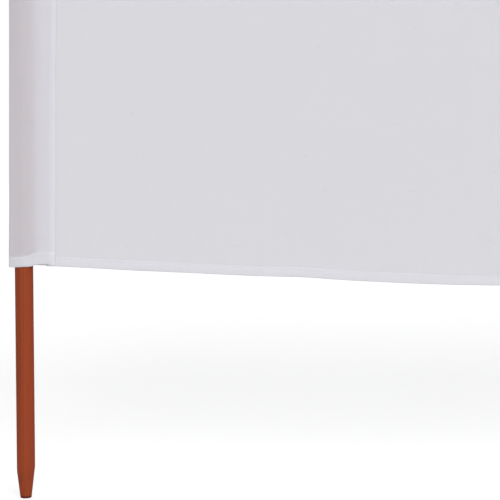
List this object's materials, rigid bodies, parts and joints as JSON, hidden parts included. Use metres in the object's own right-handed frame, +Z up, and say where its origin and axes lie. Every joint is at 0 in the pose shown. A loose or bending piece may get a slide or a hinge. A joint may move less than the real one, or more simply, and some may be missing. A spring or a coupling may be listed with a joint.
{
  "type": "beach windbreak",
  "caption": "White cloth windbreak screen in a straight row of bays, with hemmed edges and sewn pockets on pointed red-brown wooden poles that push into the sand.",
  "frame": {"origin": "centre of the flat tip of the middle pole", "axes": "+X along the row of poles, to the right seen from the front; +Y to the rear, away from the side that the cloth bellies out on; +Z up along the poles"},
  "size_m": [5.375, 0.0455, 1.56],
  "materials": {
    "stained_wood": "red-brown stain, matt, with the grain running along the pole",
    "cloth": "plain woven white cotton canvas, matt, thin enough for light to show a pole through it"
  },
  "bodies": {
    "root": {"pole_1": "stained_wood", "pole_2": "stained_wood", "pole_3": "stained_wood", "pole_4": "stained_wood", "pole_5": "stained_wood", "pole_pocket_1": "cloth", "pole_pocket_2": "cloth", "pole_pocket_3": "cloth", "pole_pocket_4": "cloth", "pole_pocket_5": "cloth", "cloth_panel_1": "cloth", "cloth_panel_2": "cloth", "cloth_panel_3": "cloth", "cloth_panel_4": "cloth", "bottom_hem_1": "cloth", "bottom_hem_2": "cloth", "bottom_hem_3": "cloth", "bottom_hem_4": "cloth", "top_hem_1": "cloth", "top_hem_2": "cloth", "top_hem_3": "cloth", "top_hem_4": "cloth"}
  },
  "joints": []
}
